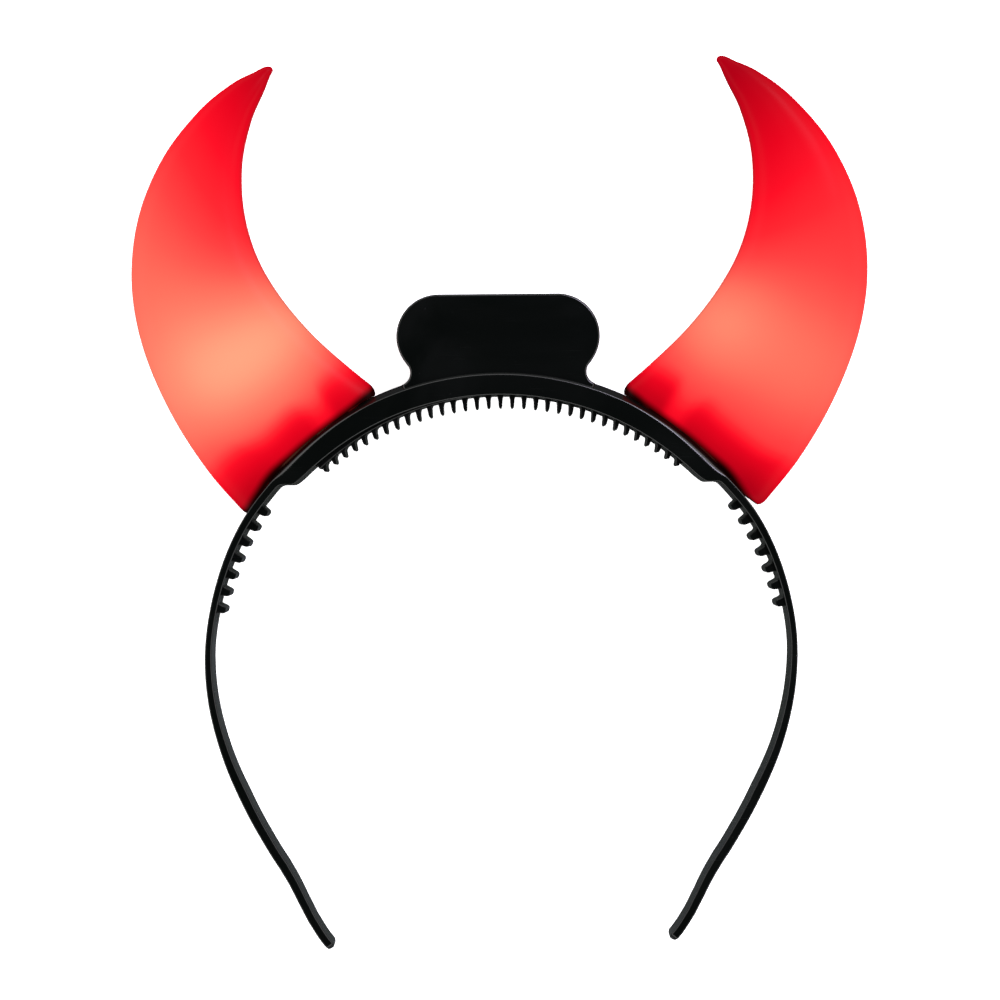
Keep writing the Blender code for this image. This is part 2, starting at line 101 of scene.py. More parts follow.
def smoothValue(rows, column, place):  # Catmull-Rom through the rows
    last = len(rows) - 1
    k = min(max(int(math.floor(place)), 0), last - 1)
    t = place - k
    p1 = rows[k][column]
    p2 = rows[k + 1][column]
    p0 = rows[k - 1][column] if k > 0 else 2 * p1 - p2
    p3 = rows[k + 2][column] if k + 2 <= last else 2 * p2 - p1
    bend = (2 * p0 - 5 * p1 + 4 * p2 - p3) * t * t + (3 * p1 - p0 - 3 * p2 + p3) * t ** 3
    return 0.5 * (2 * p1 + (p2 - p0) * t + bend)


def straightValue(rows, column, value):  # straight lines through the rows
    place = rowPlace(rows, value)
    k = min(int(place), len(rows) - 2)
    return rows[k][column] + (rows[k + 1][column] - rows[k][column]) * (place - k)


def sectionSize(column, angle):  # straight between rows, eased at the rows' corners
    steps = (-1.0, -0.5, 0.0, 0.5, 1.0)
    near = [straightValue(band["sections"], column, abs(abs(angle) + s * band["soften"])) for s in steps]
    return sum(near) / len(near)


def pathRadius(angle):
    drift = smoothValue(band["swing"], 2 if angle > 0 else 1, rowPlace(band["swing"], abs(angle)))
    return smoothValue(band["path"], 1, rowPlace(band["path"], abs(angle))) + drift


def pathFrame(angle, step=0.5):  # point of the outer face and the direction out of it
    before = polar(pathRadius(angle - step), angle - step)
    after = polar(pathRadius(angle + step), angle + step)
    along = (after - before).normalized()
    return polar(pathRadius(angle), angle), Vector((-along.y, along.x))


def arc(centre, radius, start, end, steps):  # degrees anticlockwise from +x
    points = []
    for k in range(steps + 1):
        turn = math.radians(start + (end - start) * k / steps)
        points.append(Vector((centre[0] + radius * math.cos(turn), centre[1] + radius * math.sin(turn))))
    return points


def solidFromRings(name, rings):
    shape = bmesh.new()
    rows = [[shape.verts.new(point) for point in ring] for ring in rings]
    count = len(rings[0])
    for first, second in zip(rows, rows[1:]):
        for k in range(count):
            after = (k + 1) % count
            shape.faces.new((first[k], first[after], second[after], second[k]))
    shape.faces.new(rows[0])
    shape.faces.new(rows[-1])
    bmesh.ops.recalc_face_normals(shape, faces=shape.faces)
    mesh = bpy.data.meshes.new(name)
    shape.to_mesh(mesh)
    shape.free()
    return addObject(name, mesh)


def solidFromOutline(name, outline, low, high, edge=0.0, edgeSteps=2):  # flat outline with round edges
    curve = bpy.data.curves.new(name, "CURVE")
    curve.dimensions = "2D"
    curve.fill_mode = "BOTH"
    curve.extrude = (high - low) / 2 - edge
    curve.bevel_depth = edge
    curve.bevel_resolution = edgeSteps
    curve.offset = -edge
    spline = curve.splines.new("POLY")
    spline.points.add(len(outline) - 1)
    for point, place in zip(spline.points, outline):
        point.co = (place[0], place[1], 0.0, 1.0)
    spline.use_cyclic_u = True
    guide = addObject(name + "Outline", curve)
    mesh = bakedMesh(guide)
    bpy.data.objects.remove(guide)
    shape = bmesh.new()
    shape.from_mesh(mesh)
    bmesh.ops.remove_doubles(shape, verts=shape.verts, dist=sameSpot)
    bmesh.ops.recalc_face_normals(shape, faces=shape.faces)
    shape.to_mesh(mesh)
    shape.free()
    mesh.transform(Matrix.Translation((0.0, 0.0, (low + high) / 2)))
    return addObject(name, mesh)


def addObject(name, data):
    made = bpy.data.objects.new(name, data)
    scene.collection.objects.link(made)
    return made


def bakedMesh(source):  # the mesh as its modifiers leave it
    bpy.context.view_layer.update()
    evaluated = source.evaluated_get(bpy.context.evaluated_depsgraph_get())
    mesh = bpy.data.meshes.new_from_object(evaluated)
    mesh.name = source.name
    return mesh


def cutOrJoin(target, tool, operation):
    modifier = target.modifiers.new(tool.name, "BOOLEAN")
    modifier.operation = operation
    modifier.solver = "EXACT"
    modifier.object = tool


def applyAll(target, tools=()):  # bakes the modifiers and drops the tools they used
    target.data = bakedMesh(target)
    target.modifiers.clear()
    for tool in tools:
        bpy.data.objects.remove(tool)


def finishShading(target, sharpAngle):  # smooth faces, sharp corners, flats kept flat
    target.data.shade_smooth()
    target.data.set_sharp_from_angle(angle=math.radians(sharpAngle))
    weighted = target.modifiers.new("flats", "WEIGHTED_NORMAL")
    weighted.keep_sharp = True
    weighted.weight = flatsWeight
    applyAll(target)


print("stage: resting pose from the tab's mount")
tab = {
    "halfWidth": 24.1, "centreY": 79.6, "radius": 9.95, "front": 5.2, "back": -5.0, "edge": 0.55,
    "edgeSteps": 3, "neckFillet": 3.0, "footRadius": 69.9, "endSteps": 36, "filletSteps": 12, "footSteps": 20,
}
tabMount = next(m for m in frame["record"]["mounts"] if m["name"] == "tab_front")
lean = math.atan2(-tabMount["axis"][1], tabMount["axis"][2])
leanTurn = Matrix.Rotation(lean, 4, "X")
tabPoint = Vector((0.0, tab["centreY"], tab["front"])) * mm
circleCentre = Vector(tabMount["pos_m"]) - leanTurn @ tabPoint
resting = Matrix.Translation(circleCentre) @ leanTurn @ Matrix.Scale(mm, 4)


def finishPiece(target, material, sharpAngle=32.0):
    target.data.materials.clear()
    target.data.materials.append(material)
    finishShading(target, sharpAngle)
    target.data.transform(resting)
    target.data.update()


print("stage: camera")
view = {"lens": 87.4, "distance": 579.5, "aimX": 0.12, "aimY": 40.75, "roll": 0.5, "nearest": 0.01}
camera = addObject("camera", bpy.data.cameras.new("camera"))
camera.data.lens = view["lens"]
camera.data.clip_start = view["nearest"]
cameraPlace = leanTurn @ Matrix.Rotation(math.radians(-view["roll"]), 4, "Z")
cameraPlace.translation = resting @ Vector((view["aimX"], view["aimY"], view["distance"]))
camera.matrix_world = cameraPlace
scene.camera = camera

print("stage: shader groups")


def srgb(red, green, blue):  # a screen colour as linear light
    linear = []
    for value in (red, green, blue):
        share = value / 255
        linear.append(share / 12.92 if share <= 0.04045 else ((share + 0.055) / 1.055) ** 2.4)
    return (*linear, 1.0)


def addNode(tree, kind, inputs=None, **settings):
    node = tree.nodes.new(kind)
    for key, value in settings.items():
        setattr(node, key, value)
    for key, value in (inputs or {}).items():
        if isinstance(value, bpy.types.NodeSocket):
            tree.links.new(value, node.inputs[key])
        else:
            node.inputs[key].default_value = value
    return node


def calc(tree, operation, *values, clamp=False):
    inputs = {k: value for k, value in enumerate(values)}
    return addNode(tree, "ShaderNodeMath", inputs, operation=operation, use_clamp=clamp).outputs[0]


def vectorCalc(tree, operation, *values):
    inputs = {k: value for k, value in enumerate(values)}
    return addNode(tree, "ShaderNodeVectorMath", inputs, operation=operation).outputs


def scaledVector(tree, vector, scale):
    return addNode(tree, "ShaderNodeVectorMath", {0: vector, "Scale": scale}, operation="SCALE").outputs[0]


def smoothStep(tree, value, low, high):
    inputs = {"Value": value, "From Min": low, "From Max": high}
    return addNode(tree, "ShaderNodeMapRange", inputs, interpolation_type="SMOOTHSTEP").outputs["Result"]


def mixColour(tree, factor, first, second):
    mix = addNode(tree, "ShaderNodeMix", data_type="RGBA")
    tree.links.new(factor, mix.inputs[0])
    colours = [socket for socket in mix.inputs if socket.type == "RGBA"]
    for socket, colour in zip(colours, (first, second)):
        socket.default_value = colour
    return next(socket for socket in mix.outputs if socket.type == "RGBA")


def floatCurve(tree, value, stops):
    node = addNode(tree, "ShaderNodeFloatCurve", {"Value": value})
    points = node.mapping.curves[0].points
    while len(points) < len(stops):
        points.new(0.5, 0.5)
    for point, stop in zip(points, stops):
        point.location = stop
    node.mapping.update()
    return node.outputs["Value"]


def newGroup(name, kind, inputs, outputs):
    tree = bpy.data.node_groups.new(name, kind)
    for label, socketType, value in inputs:
        socket = tree.interface.new_socket(label, in_out="INPUT", socket_type=socketType)
        if value is not None:
            socket.default_value = value
    for label, socketType in outputs:
        tree.interface.new_socket(label, in_out="OUTPUT", socket_type=socketType)
    return tree, tree.nodes.new("NodeGroupInput").outputs, tree.nodes.new("NodeGroupOutput").inputs


moulding = {
    "hairTurn": 0.5, "hairStretch": (0.07, 2.6, 1.0), "hairScale": 1.4,
    "hairline": (0.70, 0.76),   # noise values between which a scratch shows
    "scratchRoughness": 0.25,
    "flowPatches": (0.3, 0.7), "flowDistortion": 1.2,
    "speckScale": 0.45, "speckSize": (0.015, 0.05),
    "bumpDistance": 0.02,
}


def makeMouldedSurface():  # fine grain, slow flow marks and stray hairline scratches of a moulding
    tree, given, result = newGroup("mouldedSurface", "ShaderNodeTree", (
        ("Vector", "NodeSocketVector", None),
        ("Grain Scale", "NodeSocketFloat", 3.0),
        ("Flow Scale", "NodeSocketFloat", 0.06),
        ("Roughness Low", "NodeSocketFloat", 0.2),
        ("Roughness High", "NodeSocketFloat", 0.4),
        ("Scratch Amount", "NodeSocketFloat", 0.3),
    ), (
        ("Roughness", "NodeSocketFloat"),
        ("Height", "NodeSocketFloat"),
        ("Dust", "NodeSocketFloat"),
    ))
    grain = addNode(tree, "ShaderNodeTexNoise", {"Vector": given["Vector"], "Scale": given["Grain Scale"],
                                                 "Detail": 2.0}).outputs["Fac"]
    flow = addNode(tree, "ShaderNodeTexNoise", {
        "Vector": given["Vector"], "Scale": given["Flow Scale"], "Detail": 3.0,
        "Distortion": moulding["flowDistortion"],
    }).outputs["Fac"]
    stretched = addNode(tree, "ShaderNodeMapping", {
        "Vector": given["Vector"], "Scale": moulding["hairStretch"], "Rotation": (0.0, 0.0, moulding["hairTurn"]),
    }).outputs["Vector"]
    hair = addNode(tree, "ShaderNodeTexNoise", {"Vector": stretched, "Scale": moulding["hairScale"],
                                                "Detail": 1.0}).outputs["Fac"]
    scratch = calc(tree, "MULTIPLY", smoothStep(tree, hair, *moulding["hairline"]), given["Scratch Amount"])
    spread = calc(tree, "SUBTRACT", given["Roughness High"], given["Roughness Low"])
    even = smoothStep(tree, flow, *moulding["flowPatches"])
    rough = calc(tree, "ADD", given["Roughness Low"], calc(tree, "MULTIPLY", spread, even))
    scuffed = calc(tree, "MULTIPLY", scratch, moulding["scratchRoughness"])
    tree.links.new(calc(tree, "ADD", rough, scuffed, clamp=True), result["Roughness"])
    tree.links.new(calc(tree, "SUBTRACT", grain, scratch), result["Height"])
    specks = addNode(tree, "ShaderNodeTexVoronoi", {"Vector": given["Vector"], "Scale": moulding["speckScale"],
                                                    "Randomness": 1.0}).outputs["Distance"]
    speck = calc(tree, "SUBTRACT", 1.0, smoothStep(tree, specks, *moulding["speckSize"]))
    tree.links.new(calc(tree, "MULTIPLY", speck, even), result["Dust"])
    return tree


glow = {
    "colours": (  # heat, screen colour of the lit plastic
        (0.00, (176, 1, 22)), (0.10, (204, 3, 25)), (0.20, (233, 5, 30)), (0.30, (254, 16, 38)),
        (0.40, (254, 40, 50)), (0.50, (254, 66, 66)), (0.60, (254, 90, 80)), (0.70, (254, 112, 93)),
        (0.80, (254, 128, 104)), (0.90, (254, 146, 116)), (1.00, (254, 166, 130)),
    ),
    "lamps": 3,              # soft spots of light or shade behind each horn's wall
    "shadeBlur": (-1.96, 5.04),  # blur of the tongue's shadow about its edge
    "shadeRise": 0.03,       # heat gained for each millimetre outwards in the shadow
    "shadeLevel": 74.2,      # radius at which the shadow has its own heat
    "edgeBase": 70.0,        # radius that the shadow's edge is counted from
    "capSoftness": 0.15,
    "railShadow": (70.8, 73.0),  # radii between which the rail's own shadow ends
    "railDark": 0.02,        # light left in that shadow
    "sideDark": 0.7,         # light left on walls that turn away
    "sideTurn": 0.45,        # height of the normal at which a wall is fully lit
    "angles": (24.0, 60.0),  # range of the three curves
    "heights": 16.0,         # highest values of the curves
    "heats": 0.5,
    "lifts": 4.0,
    "deepFrom": 3.0,         # height below which the rail's painted shadow reaches further out, darkening the back of the hollow near the rail
    "deepLift": 3.0,
    "railLift": (  # angle, how much further out the rail's own shadow reaches
        (24.0, 2.2), (27.0, 1.4), (30.0, 0.6), (34.0, 0.2), (43.0, 0.1), (46.0, 0.4), (49.0, 0.7), (54.0, 0.4),
        (60.0, 0.4),
    ),
    "body": 0.015,           # share of the glow's colour, painted shadows included, that the unlit plastic has
    "strength": 0.99,
    "specular": 0.015,
}


def makeHornGlow():  # heat of the light in the plastic, as a colour, with the tongue's shadow, the rail's shadow and darker turned-away walls painted into it
    lampSockets = []
    for k in range(glow["lamps"]):
        lampSockets.append((f"Lamp Point {k + 1}", "NodeSocketVector", (0.0, 0.0, 0.0)))
        lampSockets.append((f"Lamp Heat {k + 1}", "NodeSocketFloat", 0.0))
        lampSockets.append((f"Lamp Reach {k + 1}", "NodeSocketFloat", 14.0))
    tree, given, result = newGroup("hornGlow", "ShaderNodeTree", (
        ("Vector", "NodeSocketVector", None),
        ("Shadow Radius", "NodeSocketFloat", 80.0),
        ("Shadow Heat", "NodeSocketFloat", 0.2),
        ("Rail Lift", "NodeSocketFloat", 0.0),
        ("Cool Point", "NodeSocketVector", (0.0, 0.0, 0.0)),
        ("Cool Heat", "NodeSocketFloat", 0.3),
        ("Heat Slope", "NodeSocketVector", (0.0, 0.0, 0.0)),
        ("Heat Cap", "NodeSocketFloat", 0.6),
        *lampSockets,
    ), (
        ("Color", "NodeSocketColor"),
        ("Body", "NodeSocketColor"),
    ))
    away = vectorCalc(tree, "SUBTRACT", given["Vector"], given["Cool Point"])[0]
    climb = vectorCalc(tree, "DOT_PRODUCT", away, given["Heat Slope"])["Value"]
    warmed = calc(tree, "ADD", given["Cool Heat"], climb)
    heat = calc(tree, "SMOOTH_MIN", warmed, given["Heat Cap"], glow["capSoftness"])
    level = vectorCalc(tree, "MULTIPLY", given["Vector"], (1.0, 1.0, 0.0))[0]
    for k in range(glow["lamps"]):
        lampWay = vectorCalc(tree, "DISTANCE", level, given[f"Lamp Point {k + 1}"])["Value"]
        ratio = calc(tree, "DIVIDE", lampWay, given[f"Lamp Reach {k + 1}"])
        spot = calc(tree, "EXPONENT", calc(tree, "MULTIPLY", calc(tree, "MULTIPLY", ratio, ratio), -1.0))
        heat = calc(tree, "ADD", heat, calc(tree, "MULTIPLY", spot, given[f"Lamp Heat {k + 1}"]))
    radius = vectorCalc(tree, "LENGTH", level)["Value"]
    beyond = calc(tree, "SUBTRACT", radius, given["Shadow Radius"])
    outside = smoothStep(tree, beyond, *glow["shadeBlur"])
    rise = calc(tree, "MULTIPLY", calc(tree, "SUBTRACT", radius, glow["shadeLevel"]), glow["shadeRise"])
    shaded = calc(tree, "ADD", given["Shadow Heat"], rise)
    mixed = addNode(tree, "ShaderNodeMix", {"Factor": outside, "A": shaded, "B": heat}).outputs["Result"]
    ramp = addNode(tree, "ShaderNodeValToRGB", {"Fac": mixed})
    stops = ramp.color_ramp.elements
    while len(stops) < len(glow["colours"]):
        stops.new(0.5)
    for stop, (place, colour) in zip(stops, glow["colours"]):
        stop.position = place
        stop.color = srgb(*colour)
    lit = smoothStep(tree, calc(tree, "SUBTRACT", radius, given["Rail Lift"]), *glow["railShadow"])
    lit = calc(tree, "ADD", glow["railDark"], calc(tree, "MULTIPLY", lit, 1 - glow["railDark"]))
    normal = addNode(tree, "ShaderNodeTexCoord").outputs["Normal"]
    facing = calc(tree, "ABSOLUTE", addNode(tree, "ShaderNodeSeparateXYZ", {0: normal}).outputs["Z"])
    facing = smoothStep(tree, facing, 0.0, glow["sideTurn"])
    facing = calc(tree, "ADD", glow["sideDark"], calc(tree, "MULTIPLY", facing, 1 - glow["sideDark"]))
    glowing = scaledVector(tree, ramp.outputs["Color"], calc(tree, "MULTIPLY", lit, facing))
    tree.links.new(glowing, result["Color"])
    tree.links.new(scaledVector(tree, glowing, glow["body"]), result["Body"])
    return tree


mouldedSurface = makeMouldedSurface()
hornGlow = makeHornGlow()


def modelCoordinates(tree):  # Object coordinates turned back into the model's millimetres
    centre = leanTurn.inverted() @ circleCentre
    return addNode(tree, "ShaderNodeMapping", {
        "Vector": addNode(tree, "ShaderNodeTexCoord").outputs["Object"],
        "Location": -centre / mm, "Rotation": (-lean, 0.0, 0.0), "Scale": (1 / mm,) * 3,
    }).outputs["Vector"]


def startMaterial(name, sizes):
    material = bpy.data.materials.new(name)
    material.use_nodes = True
    tree = material.node_tree
    shader = tree.nodes["Principled BSDF"]
    place = modelCoordinates(tree)
    surface = addNode(tree, "ShaderNodeGroup", node_tree=mouldedSurface)
    tree.links.new(place, surface.inputs["Vector"])
    for label in ("Grain Scale", "Flow Scale", "Roughness Low", "Roughness High", "Scratch Amount"):
        surface.inputs[label].default_value = sizes[label]
    tree.links.new(surface.outputs["Roughness"], shader.inputs["Roughness"])
    bump = addNode(tree, "ShaderNodeBump", {"Height": surface.outputs["Height"], "Strength": sizes["bump"],
                                            "Distance": moulding["bumpDistance"] * mm})
    tree.links.new(bump.outputs["Normal"], shader.inputs["Normal"])
    return material, tree, shader, place, surface


blackPlastic = {
    "frame": {"Grain Scale": 3.2, "Flow Scale": 0.03, "Roughness Low": 0.20, "Roughness High": 0.27,
              "Scratch Amount": 0.2, "bump": 0.25, "colour": (0.0005, 0.0009, 0.0007, 1.0), "specular": 0.36},
    "comb": {"Grain Scale": 4.0, "Flow Scale": 0.05, "Roughness Low": 0.24, "Roughness High": 0.30,
             "Scratch Amount": 0.2, "bump": 0.3, "colour": (0.0005, 0.0008, 0.0007, 1.0), "specular": 0.3},
    "cover": {"Grain Scale": 2.2, "Flow Scale": 0.12, "Roughness Low": 0.38, "Roughness High": 0.55,
              "Scratch Amount": 0.5, "bump": 0.8, "colour": (0.0030, 0.0032, 0.0032, 1.0), "specular": 0.3},
}
dustColour = (0.020, 0.021, 0.022, 1.0)


def makeBlackPlastic(name, sizes):
    material, tree, shader, place, surface = startMaterial(name, sizes)
    shader.inputs["Specular IOR Level"].default_value = sizes["specular"]
    dusty = mixColour(tree, surface.outputs["Dust"], sizes["colour"], dustColour)
    tree.links.new(dusty, shader.inputs["Base Color"])
    return material


hornSides = {
    "leftHorn": {
        "coolPoint": (-62.3, 117.0, 0.0), "coolHeat": 0.30, "slope": (-0.0114, -0.0060, 0.0), "heatCap": 0.66,
        "lamps": (  # place, heat, reach
            ((-47.6, 83.9), 0.31, 14.0), ((-60.6, 70.4), 0.45, 20.9), ((-55.2, 44.7), -0.45, 20.6),
        ),
        "shadowEdge": (  # angle, height of the tongue's shadow over its base radius
            (24.0, 9.5), (28.0, 9.4), (32.0, 8.2), (34.2, 5.5), (36.0, 6.2), (38.5, 7.3), (42.0, 7.0),
            (44.5, 6.9), (47.0, 8.1), (50.0, 10.4), (54.0, 11.2), (60.0, 11.2),
        ),
        "shadowHeat": (  # angle, heat in the shadow
            (24.0, 0.05), (28.0, 0.14), (31.0, 0.16), (34.5, 0.31), (36.5, 0.25), (38.5, 0.19), (45.0, 0.18),
            (49.0, 0.13), (54.0, 0.09), (60.0, 0.09),
        ),
    },
    "rightHorn": {
        "coolPoint": (62.3, 117.0, 0.0), "coolHeat": 0.23, "slope": (0.0072, -0.0076, 0.0), "heatCap": 0.42,
        "lamps": (
            ((50.4, 83.8), 0.35, 14.1), ((69.6, 66.1), 0.60, 24.6), ((65.7, 57.9), -0.40, 27.1),
        ),
        "shadowEdge": (
            (24.0, 9.5), (30.0, 9.4), (32.5, 9.0), (35.0, 6.5), (36.5, 7.2), (38.5, 8.5), (41.0, 8.1),
            (45.0, 8.2), (49.0, 9.0), (52.0, 10.8), (54.5, 13.2), (60.0, 14.0),
        ),
        "shadowHeat": (
            (24.0, 0.02), (28.0, 0.08), (31.0, 0.09), (34.4, 0.29), (36.3, 0.23), (38.3, 0.14), (44.0, 0.12),
            (49.0, 0.08), (54.0, 0.02), (60.0, 0.02),
        ),
    },
}
hornPlastic = {"Grain Scale": 1.6, "Flow Scale": 0.04, "Roughness Low": 0.26, "Roughness High": 0.32,
               "Scratch Amount": 0.1, "bump": 0.25}


def makeHornMaterial(name, side):
    material, tree, shader, place, surface = startMaterial(name, hornPlastic)
    parts = addNode(tree, "ShaderNodeSeparateXYZ", {0: place}).outputs
    angle = calc(tree, "DEGREES", calc(tree, "ARCTAN2", calc(tree, "ABSOLUTE", parts["X"]), parts["Y"]))
    low, high = glow["angles"]
    share = addNode(tree, "ShaderNodeMapRange", {"Value": angle, "From Min": low, "From Max": high})
    curves = []
    for rows, top in ((side["shadowEdge"], glow["heights"]), (side["shadowHeat"], glow["heats"]),
                      (glow["railLift"], glow["lifts"])):
        stops = [((at - low) / (high - low), value / top) for at, value in rows]
        shape = floatCurve(tree, share.outputs["Result"], stops)
        curves.append(calc(tree, "MULTIPLY", shape, top))
    # painted shade: on the back half of the horn the rail's shadow is lifted by up to deepLift millimetres
    deep = calc(tree, "SUBTRACT", 1.0, smoothStep(tree, parts["Z"], -glow["deepFrom"], glow["deepFrom"]))
    lift = calc(tree, "ADD", curves[2], calc(tree, "MULTIPLY", deep, glow["deepLift"]))
    lit = addNode(tree, "ShaderNodeGroup", node_tree=hornGlow)
    tree.links.new(place, lit.inputs["Vector"])
    tree.links.new(calc(tree, "ADD", curves[0], glow["edgeBase"]), lit.inputs["Shadow Radius"])
    tree.links.new(curves[1], lit.inputs["Shadow Heat"])
    tree.links.new(lift, lit.inputs["Rail Lift"])
    for label, key in (("Cool Point", "coolPoint"), ("Cool Heat", "coolHeat"), ("Heat Slope", "slope"),
                       ("Heat Cap", "heatCap")):
        lit.inputs[label].default_value = side[key]
    for k, (spot, heat, reach) in enumerate(side["lamps"]):
        lit.inputs[f"Lamp Point {k + 1}"].default_value = (*spot, 0.0)
        lit.inputs[f"Lamp Heat {k + 1}"].default_value = heat
        lit.inputs[f"Lamp Reach {k + 1}"].default_value = reach
    tree.links.new(lit.outputs["Color"], shader.inputs["Emission Color"])
    tree.links.new(lit.outputs["Body"], shader.inputs["Base Color"])
    shader.inputs["Emission Strength"].default_value = glow["strength"]
    shader.inputs["Specular IOR Level"].default_value = glow["specular"]
    return material


frameBlack = makeBlackPlastic("frameBlack", blackPlastic["frame"])
combBlack = makeBlackPlastic("combBlack", blackPlastic["comb"])
coverBlack = makeBlackPlastic("coverBlack", blackPlastic["cover"])
hornReds = {name: makeHornMaterial(name + "Red", side) for name, side in hornSides.items()}

print("stage: tooth rows")
toothFlare = ((0.0, 1.0), (0.06, 0.62), (0.15, 0.30), (0.30, 0.10), (0.50, 0.0), (1.0, 0.0))  # at the root
toothTaper = ((0.0, 1.0), (0.30, 0.96), (0.60, 0.90), (0.80, 0.80), (0.90, 0.70), (0.96, 0.52), (1.0, 0.22))
toothLeast = 0.04  # half width that a tooth keeps at its very end
toothGrid = {"Size": (1.0, 1.0, 1.0), "Vertices X": 5, "Vertices Y": 19, "Vertices Z": 5}


def makeToothRow():  # bends, leans and tapers a block into each tooth, and joins the row to its body
    tree, given, result = newGroup("toothRow", "GeometryNodeTree", (
        ("Body", "NodeSocketGeometry", None),
        ("Teeth", "NodeSocketInt", 7),
        ("First Angle", "NodeSocketFloat", 0.0),
        ("Pitch", "NodeSocketFloat", 3.0),
        ("Root Radius", "NodeSocketFloat", 65.0),
        ("Root Drop", "NodeSocketFloat", 0.0),
        ("Tip Radius", "NodeSocketFloat", 62.0),
        ("Tip Rise", "NodeSocketFloat", 0.0),
        ("Lean", "NodeSocketFloat", 1.0),
        ("Lean Offset", "NodeSocketFloat", 0.0),
        ("Root Half Width", "NodeSocketFloat", 1.0),
        ("Shank Half Width", "NodeSocketFloat", 0.5),
        ("Half Depth", "NodeSocketFloat", 4.0),
        ("Edge", "NodeSocketFloat", 0.15),
        ("Material", "NodeSocketMaterial", None),
    ), (("Geometry", "NodeSocketGeometry"),))

    index = addNode(tree, "GeometryNodeInputIndex").outputs[0]
    half = calc(tree, "DIVIDE", calc(tree, "SUBTRACT", given["Teeth"], 1.0), 2.0)
    share = calc(tree, "DIVIDE", calc(tree, "SUBTRACT", index, half), half)
    bow = calc(tree, "MULTIPLY", share, share)
    degrees = calc(tree, "ADD", given["First Angle"], calc(tree, "MULTIPLY", index, given["Pitch"]))
    angle = calc(tree, "RADIANS", degrees)
    leaned = calc(tree, "MULTIPLY", angle, given["Lean"])
    leaned = calc(tree, "ADD", leaned, calc(tree, "RADIANS", given["Lean Offset"]))
    tip = calc(tree, "ADD", given["Tip Radius"], calc(tree, "MULTIPLY", given["Tip Rise"], bow))
    root = calc(tree, "SUBTRACT", given["Root Radius"], calc(tree, "MULTIPLY", given["Root Drop"], bow))
    turned = calc(tree, "COSINE", calc(tree, "SUBTRACT", angle, leaned))
    length = calc(tree, "DIVIDE", calc(tree, "SUBTRACT", root, tip), turned)
    place = addNode(tree, "ShaderNodeCombineXYZ", {
        "X": calc(tree, "MULTIPLY", tip, calc(tree, "SINE", angle)),
        "Y": calc(tree, "MULTIPLY", tip, calc(tree, "COSINE", angle)),
    })
    spin = addNode(tree, "ShaderNodeCombineXYZ", {"Z": calc(tree, "MULTIPLY", leaned, -1.0)})
    stretch = addNode(tree, "ShaderNodeCombineXYZ", {"X": 1.0, "Y": length, "Z": 1.0})
    points = addNode(tree, "GeometryNodePoints", {"Count": given["Teeth"], "Position": place.outputs[0]})

    block = addNode(tree, "GeometryNodeMeshCube", toothGrid)
    position = addNode(tree, "GeometryNodeInputPosition").outputs[0]
    cell = addNode(tree, "ShaderNodeSeparateXYZ", {0: position}).outputs
    down = calc(tree, "SUBTRACT", 0.5, cell["Y"])
    down = calc(tree, "SINE", calc(tree, "MULTIPLY", down, math.pi / 2))
    flare = calc(tree, "SUBTRACT", given["Root Half Width"], given["Shank Half Width"])
    flare = calc(tree, "MULTIPLY", floatCurve(tree, down, toothFlare), flare)
    shank = calc(tree, "MULTIPLY", floatCurve(tree, down, toothTaper), given["Shank Half Width"])
    width = calc(tree, "ADD", flare, shank)
    across = calc(tree, "ABSOLUTE", calc(tree, "MULTIPLY", cell["Z"], 2.0))
    outer = calc(tree, "SUBTRACT", calc(tree, "MULTIPLY", across, 2.0), 1.0, clamp=True)
    narrowed = calc(tree, "MULTIPLY", outer, given["Edge"])
    halfWidth = calc(tree, "SUBTRACT", width, narrowed)
    halfWidth = calc(tree, "MAXIMUM", halfWidth, toothLeast)
    setBack = calc(tree, "MULTIPLY", given["Edge"], calc(tree, "SUBTRACT", 1.0, outer))
    depth = calc(tree, "SUBTRACT", given["Half Depth"], setBack)
    shaped = addNode(tree, "ShaderNodeCombineXYZ", {
        "X": calc(tree, "MULTIPLY", calc(tree, "MULTIPLY", cell["X"], 2.0), halfWidth),
        "Y": calc(tree, "SUBTRACT", 1.0, down),
        "Z": calc(tree, "MULTIPLY", calc(tree, "SIGN", cell["Z"]), depth),
    })
    tooth = addNode(tree, "GeometryNodeSetPosition", {"Geometry": block.outputs["Mesh"],
                                                      "Position": shaped.outputs[0]})
    row = addNode(tree, "GeometryNodeInstanceOnPoints", {
        "Points": points.outputs[0], "Instance": tooth.outputs[0], "Rotation": spin.outputs[0],
        "Scale": stretch.outputs[0],
    })
    realized = addNode(tree, "GeometryNodeRealizeInstances", {"Geometry": row.outputs[0]})
    fused = addNode(tree, "GeometryNodeMeshBoolean", operation="UNION", solver="EXACT")
    tree.links.new(given["Body"], fused.inputs["Mesh 2"])
    tree.links.new(realized.outputs[0], fused.inputs["Mesh 2"])
    dressed = addNode(tree, "GeometryNodeSetMaterial", {"Geometry": fused.outputs["Mesh"],
                                                        "Material": given["Material"]})
    tree.links.new(dressed.outputs[0], result["Geometry"])
    return tree


toothRow = makeToothRow()


def addToothRow(target, sizes, material):
    modifier = target.modifiers.new("teeth", "NODES")
    modifier.node_group = toothRow
    values = {**sizes, "Material": material}
    for item in toothRow.interface.items_tree:
        if item.item_type == "SOCKET" and item.in_out == "INPUT" and item.name in values:
            modifier[item.identifier] = values[item.name]


print("stage: frame moulding")


